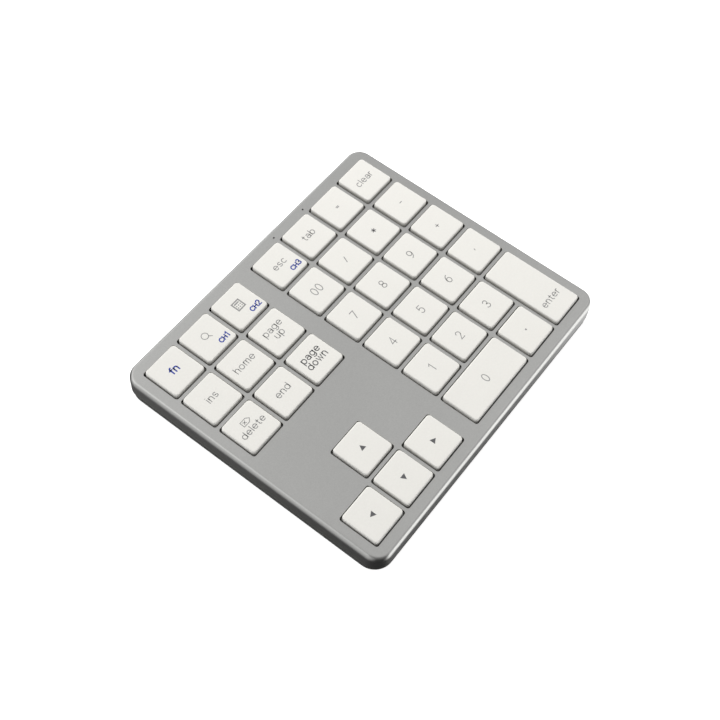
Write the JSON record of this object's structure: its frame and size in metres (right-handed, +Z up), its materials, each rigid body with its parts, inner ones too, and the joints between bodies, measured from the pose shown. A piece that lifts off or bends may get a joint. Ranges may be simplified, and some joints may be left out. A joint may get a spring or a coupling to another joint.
{
  "type": "numeric keypad",
  "caption": "Slim wireless numeric keypad: satin aluminium shell over a dark cover, white scissor keys in a number block and a navigation block, slide switch and charging socket at the back.",
  "frame": {"origin": "centre of the case on the desk, under the middle of the feet", "axes": "+X to the user's right along the case's long side, +Y away from the user, +Z up through the keys"},
  "size_m": [0.1484, 0.124, 0.0143],
  "materials": {
    "aluminium": "satin anodised, fine bead-blasted grain, polished chamfer",
    "keycap_white": "fine satin moulded plastic with printed grey and blue legends",
    "cover_plastic": "fine matt texture",
    "switch_plastic": "matt, ribbed for a fingernail",
    "plated_steel": "nickel plated",
    "socket_metal": "drawn, bright",
    "circuit_film": "clear film with printed silver tracks",
    "silicone": "milky, translucent",
    "circuit_board": "green solder resist",
    "clear_plastic": "clear",
    "battery_foil": "dull laminated foil",
    "connector_plastic": "moulded",
    "wire_red": "smooth jacket",
    "wire_black": "smooth jacket",
    "foot_rubber": "matt"
  },
  "bodies": {
    "case": {"top_case": "aluminium", "bottom_cover": "cover_plastic", "support_plate": "plated_steel", "membrane": "circuit_film", "dome_sheet": "silicone", "circuit_board": "circuit_board", "usb_socket": "socket_metal", "switch_body": "socket_metal", "light_pipe_left": "clear_plastic", "light_pipe_right": "clear_plastic", "battery": "battery_foil", "battery_connector": "connector_plastic", "battery_wire_positive": "wire_red", "battery_wire_negative": "wire_black", "foot_front_left": "foot_rubber", "screw_front_left": "plated_steel", "foot_back_left": "foot_rubber", "screw_back_left": "plated_steel", "foot_front_right": "foot_rubber", "screw_front_right": "plated_steel", "foot_back_right": "foot_rubber", "screw_back_right": "plated_steel"},
    "power_switch": {"power_switch": "switch_plastic"},
    "stabiliser_zero": {"stabiliser_zero": "plated_steel"},
    "stabiliser_enter": {"stabiliser_enter": "plated_steel"},
    "key_fn": {"key_fn": "keycap_white"},
    "key_search": {"key_search": "keycap_white"},
    "key_calculator": {"key_calculator": "keycap_white"},
    "key_esc": {"key_esc": "keycap_white"},
    "key_tab": {"key_tab": "keycap_white"},
    "key_equals": {"key_equals": "keycap_white"},
    "key_clear": {"key_clear": "keycap_white"},
    "key_insert": {"key_insert": "keycap_white"},
    "key_home": {"key_home": "keycap_white"},
    "key_page_up": {"key_page_up": "keycap_white"},
    "key_double_zero": {"key_double_zero": "keycap_white"},
    "key_slash": {"key_slash": "keycap_white"},
    "key_asterisk": {"key_asterisk": "keycap_white"},
    "key_minus": {"key_minus": "keycap_white"},
    "key_delete": {"key_delete": "keycap_white"},
    "key_end": {"key_end": "keycap_white"},
    "key_page_down": {"key_page_down": "keycap_white"},
    "key_7": {"key_7": "keycap_white"},
    "key_8": {"key_8": "keycap_white"},
    "key_9": {"key_9": "keycap_white"},
    "key_plus": {"key_plus": "keycap_white"},
    "key_4": {"key_4": "keycap_white"},
    "key_5": {"key_5": "keycap_white"},
    "key_6": {"key_6": "keycap_white"},
    "key_comma": {"key_comma": "keycap_white"},
    "key_up": {"key_up": "keycap_white"},
    "key_1": {"key_1": "keycap_white"},
    "key_2": {"key_2": "keycap_white"},
    "key_3": {"key_3": "keycap_white"},
    "key_enter": {"key_enter": "keycap_white"},
    "key_left": {"key_left": "keycap_white"},
    "key_down": {"key_down": "keycap_white"},
    "key_right": {"key_right": "keycap_white"},
    "key_0": {"key_0": "keycap_white"},
    "key_period": {"key_period": "keycap_white"}
  },
  "joints": [
    {"name": "power_switch_slide", "type": "slide", "parent": "case", "child": "power_switch", "axis": [1, 0, 0], "range_m": [0, 0.002]},
    {"name": "press_enter", "type": "slide", "parent": "case", "child": "key_enter", "axis": [0, 0, -1], "range_m": [0, 0.0016], "stiffness_N_per_m": 300, "springref_m": -0.0006},
    {"name": "press_0", "type": "slide", "parent": "case", "child": "key_0", "axis": [0, 0, -1], "range_m": [0, 0.0016], "stiffness_N_per_m": 300, "springref_m": -0.0006},
    {"name": "stabiliser_zero_turn", "type": "hinge", "parent": "case", "child": "stabiliser_zero", "pos_m": [0.01275, -0.0522, 0.0088], "axis": [-1, 0, 0], "range_deg": [0, 12.2]},
    {"name": "stabiliser_enter_turn", "type": "hinge", "parent": "case", "child": "stabiliser_enter", "pos_m": [0.06475, -0.0382, 0.0088], "axis": [0, -1, 0], "range_deg": [0, 12.2]},
    {"name": "press_fn", "type": "slide", "parent": "case", "child": "key_fn", "axis": [0, 0, -1], "range_m": [0, 0.0016], "stiffness_N_per_m": 300, "springref_m": -0.0006},
    {"name": "press_search", "type": "slide", "parent": "case", "child": "key_search", "axis": [0, 0, -1], "range_m": [0, 0.0016], "stiffness_N_per_m": 300, "springref_m": -0.0006},
    {"name": "press_calculator", "type": "slide", "parent": "case", "child": "key_calculator", "axis": [0, 0, -1], "range_m": [0, 0.0016], "stiffness_N_per_m": 300, "springref_m": -0.0006},
    {"name": "press_esc", "type": "slide", "parent": "case", "child": "key_esc", "axis": [0, 0, -1], "range_m": [0, 0.0016], "stiffness_N_per_m": 300, "springref_m": -0.0006},
    {"name": "press_tab", "type": "slide", "parent": "case", "child": "key_tab", "axis": [0, 0, -1], "range_m": [0, 0.0016], "stiffness_N_per_m": 300, "springref_m": -0.0006},
    {"name": "press_equals", "type": "slide", "parent": "case", "child": "key_equals", "axis": [0, 0, -1], "range_m": [0, 0.0016], "stiffness_N_per_m": 300, "springref_m": -0.0006},
    {"name": "press_clear", "type": "slide", "parent": "case", "child": "key_clear", "axis": [0, 0, -1], "range_m": [0, 0.0016], "stiffness_N_per_m": 300, "springref_m": -0.0006},
    {"name": "press_insert", "type": "slide", "parent": "case", "child": "key_insert", "axis": [0, 0, -1], "range_m": [0, 0.0016], "stiffness_N_per_m": 300, "springref_m": -0.0006},
    {"name": "press_home", "type": "slide", "parent": "case", "child": "key_home", "axis": [0, 0, -1], "range_m": [0, 0.0016], "stiffness_N_per_m": 300, "springref_m": -0.0006},
    {"name": "press_page_up", "type": "slide", "parent": "case", "child": "key_page_up", "axis": [0, 0, -1], "range_m": [0, 0.0016], "stiffness_N_per_m": 300, "springref_m": -0.0006},
    {"name": "press_double_zero", "type": "slide", "parent": "case", "child": "key_double_zero", "axis": [0, 0, -1], "range_m": [0, 0.0016], "stiffness_N_per_m": 300, "springref_m": -0.0006},
    {"name": "press_slash", "type": "slide", "parent": "case", "child": "key_slash", "axis": [0, 0, -1], "range_m": [0, 0.0016], "stiffness_N_per_m": 300, "springref_m": -0.0006},
    {"name": "press_asterisk", "type": "slide", "parent": "case", "child": "key_asterisk", "axis": [0, 0, -1], "range_m": [0, 0.0016], "stiffness_N_per_m": 300, "springref_m": -0.0006},
    {"name": "press_minus", "type": "slide", "parent": "case", "child": "key_minus", "axis": [0, 0, -1], "range_m": [0, 0.0016], "stiffness_N_per_m": 300, "springref_m": -0.0006},
    {"name": "press_delete", "type": "slide", "parent": "case", "child": "key_delete", "axis": [0, 0, -1], "range_m": [0, 0.0016], "stiffness_N_per_m": 300, "springref_m": -0.0006},
    {"name": "press_end", "type": "slide", "parent": "case", "child": "key_end", "axis": [0, 0, -1], "range_m": [0, 0.0016], "stiffness_N_per_m": 300, "springref_m": -0.0006},
    {"name": "press_page_down", "type": "slide", "parent": "case", "child": "key_page_down", "axis": [0, 0, -1], "range_m": [0, 0.0016], "stiffness_N_per_m": 300, "springref_m": -0.0006},
    {"name": "press_7", "type": "slide", "parent": "case", "child": "key_7", "axis": [0, 0, -1], "range_m": [0, 0.0016], "stiffness_N_per_m": 300, "springref_m": -0.0006},
    {"name": "press_8", "type": "slide", "parent": "case", "child": "key_8", "axis": [0, 0, -1], "range_m": [0, 0.0016], "stiffness_N_per_m": 300, "springref_m": -0.0006},
    {"name": "press_9", "type": "slide", "parent": "case", "child": "key_9", "axis": [0, 0, -1], "range_m": [0, 0.0016], "stiffness_N_per_m": 300, "springref_m": -0.0006},
    {"name": "press_plus", "type": "slide", "parent": "case", "child": "key_plus", "axis": [0, 0, -1], "range_m": [0, 0.0016], "stiffness_N_per_m": 300, "springref_m": -0.0006},
    {"name": "press_4", "type": "slide", "parent": "case", "child": "key_4", "axis": [0, 0, -1], "range_m": [0, 0.0016], "stiffness_N_per_m": 300, "springref_m": -0.0006},
    {"name": "press_5", "type": "slide", "parent": "case", "child": "key_5", "axis": [0, 0, -1], "range_m": [0, 0.0016], "stiffness_N_per_m": 300, "springref_m": -0.0006},
    {"name": "press_6", "type": "slide", "parent": "case", "child": "key_6", "axis": [0, 0, -1], "range_m": [0, 0.0016], "stiffness_N_per_m": 300, "springref_m": -0.0006},
    {"name": "press_comma", "type": "slide", "parent": "case", "child": "key_comma", "axis": [0, 0, -1], "range_m": [0, 0.0016], "stiffness_N_per_m": 300, "springref_m": -0.0006},
    {"name": "press_up", "type": "slide", "parent": "case", "child": "key_up", "axis": [0, 0, -1], "range_m": [0, 0.0016], "stiffness_N_per_m": 300, "springref_m": -0.0006},
    {"name": "press_1", "type": "slide", "parent": "case", "child": "key_1", "axis": [0, 0, -1], "range_m": [0, 0.0016], "stiffness_N_per_m": 300, "springref_m": -0.0006},
    {"name": "press_2", "type": "slide", "parent": "case", "child": "key_2", "axis": [0, 0, -1], "range_m": [0, 0.0016], "stiffness_N_per_m": 300, "springref_m": -0.0006},
    {"name": "press_3", "type": "slide", "parent": "case", "child": "key_3", "axis": [0, 0, -1], "range_m": [0, 0.0016], "stiffness_N_per_m": 300, "springref_m": -0.0006},
    {"name": "press_left", "type": "slide", "parent": "case", "child": "key_left", "axis": [0, 0, -1], "range_m": [0, 0.0016], "stiffness_N_per_m": 300, "springref_m": -0.0006},
    {"name": "press_down", "type": "slide", "parent": "case", "child": "key_down", "axis": [0, 0, -1], "range_m": [0, 0.0016], "stiffness_N_per_m": 300, "springref_m": -0.0006},
    {"name": "press_right", "type": "slide", "parent": "case", "child": "key_right", "axis": [0, 0, -1], "range_m": [0, 0.0016], "stiffness_N_per_m": 300, "springref_m": -0.0006},
    {"name": "press_period", "type": "slide", "parent": "case", "child": "key_period", "axis": [0, 0, -1], "range_m": [0, 0.0016], "stiffness_N_per_m": 300, "springref_m": -0.0006}
  ],
  "couplings": [
    {"joint": "stabiliser_zero_turn", "follows": "press_0", "rad_per_m": 132.5},
    {"joint": "stabiliser_enter_turn", "follows": "press_enter", "rad_per_m": 132.5}
  ]
}
